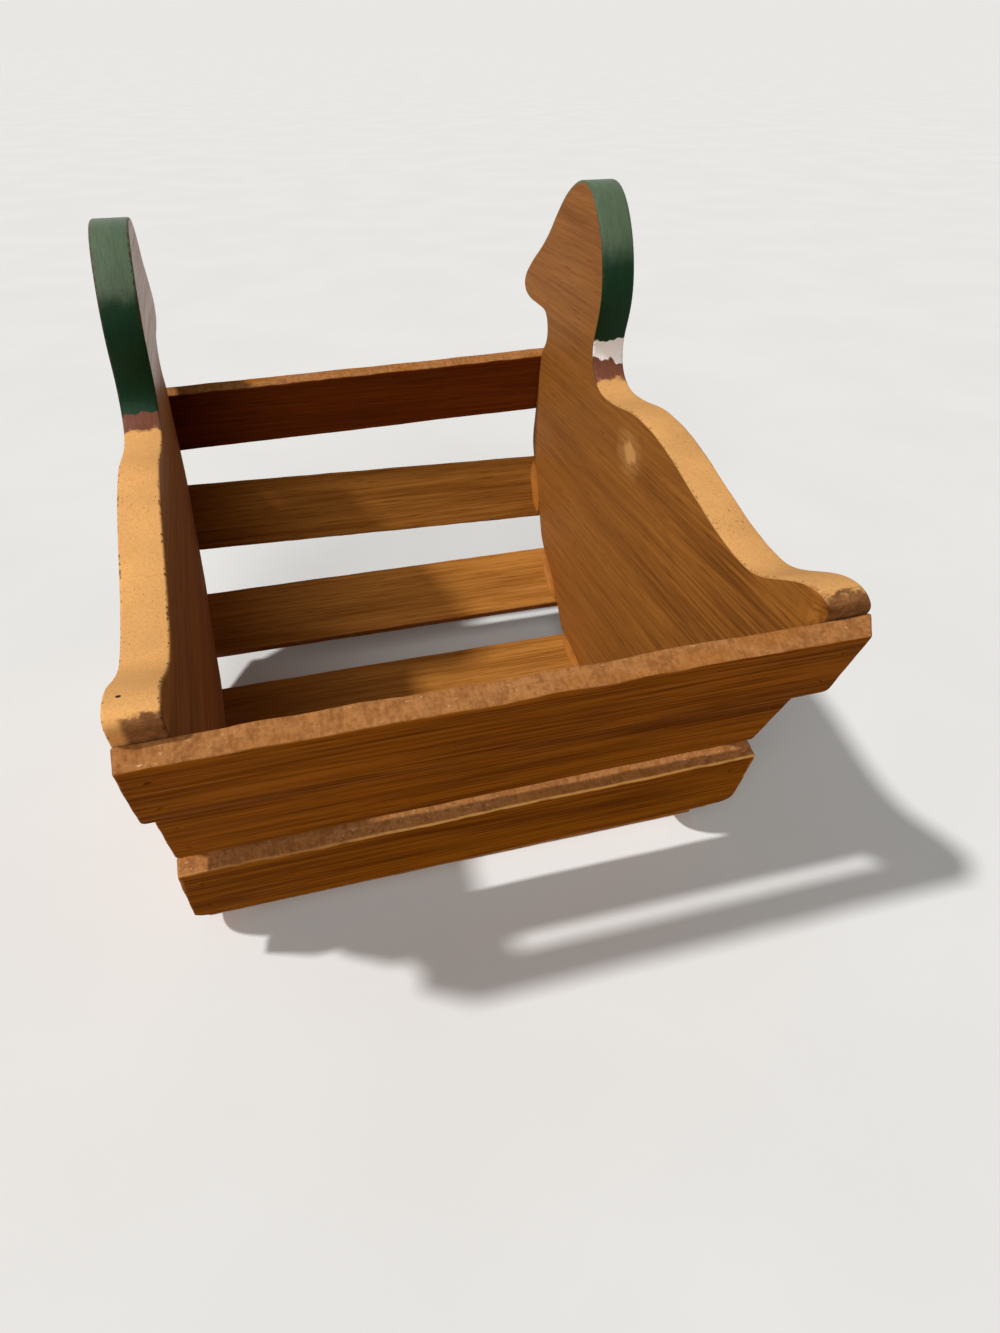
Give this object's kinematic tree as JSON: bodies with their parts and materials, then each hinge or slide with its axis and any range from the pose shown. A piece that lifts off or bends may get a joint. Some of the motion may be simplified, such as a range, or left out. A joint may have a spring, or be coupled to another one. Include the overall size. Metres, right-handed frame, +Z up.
{
  "type": "slatted basket",
  "caption": "Open slatted wooden basket between duck-silhouette side boards, its slats nailed to the sawn board edges with brads, standing on its bottom slats to hold small things.",
  "frame": {"origin": "under the middle of the basket's bounding box, on the surface that the bottom slats stand on", "axes": "+Z up, +Y from the tails towards the bills (the longest way), +X across the basket along the slats"},
  "size_m": [0.1806, 0.2516, 0.2037],
  "materials": {
    "painted_board": "satin stain with painted edge bands",
    "stained_slat": "satin orange-brown stain, rough-sawn edges",
    "brad_steel": "dull, darkened with age"
  },
  "bodies": {
    "root": {"left_board": "painted_board", "right_board": "painted_board", "tail_slat_1": "stained_slat", "tail_slat_2": "stained_slat", "tail_slat_3": "stained_slat", "bottom_slat_1": "stained_slat", "bottom_slat_2": "stained_slat", "breast_slat_1": "stained_slat", "breast_slat_2": "stained_slat", "breast_slat_3": "stained_slat", "breast_slat_4": "stained_slat", "tail_slat_1_brad_1": "brad_steel", "tail_slat_1_brad_2": "brad_steel", "tail_slat_1_brad_3": "brad_steel", "tail_slat_1_brad_4": "brad_steel", "tail_slat_2_brad_1": "brad_steel", "tail_slat_2_brad_2": "brad_steel", "tail_slat_2_brad_3": "brad_steel", "tail_slat_2_brad_4": "brad_steel", "tail_slat_3_brad_1": "brad_steel", "tail_slat_3_brad_2": "brad_steel", "tail_slat_3_brad_3": "brad_steel", "tail_slat_3_brad_4": "brad_steel", "bottom_slat_1_brad_1": "brad_steel", "bottom_slat_1_brad_2": "brad_steel", "bottom_slat_1_brad_3": "brad_steel", "bottom_slat_1_brad_4": "brad_steel", "bottom_slat_2_brad_1": "brad_steel", "bottom_slat_2_brad_2": "brad_steel", "bottom_slat_2_brad_3": "brad_steel", "bottom_slat_2_brad_4": "brad_steel", "breast_slat_1_brad_1": "brad_steel", "breast_slat_1_brad_2": "brad_steel", "breast_slat_1_brad_3": "brad_steel", "breast_slat_1_brad_4": "brad_steel", "breast_slat_2_brad_1": "brad_steel", "breast_slat_2_brad_2": "brad_steel", "breast_slat_2_brad_3": "brad_steel", "breast_slat_2_brad_4": "brad_steel", "breast_slat_3_brad_1": "brad_steel", "breast_slat_3_brad_2": "brad_steel", "breast_slat_3_brad_3": "brad_steel", "breast_slat_3_brad_4": "brad_steel", "breast_slat_4_brad_1": "brad_steel", "breast_slat_4_brad_2": "brad_steel", "breast_slat_4_brad_3": "brad_steel", "breast_slat_4_brad_4": "brad_steel"}
  },
  "joints": []
}
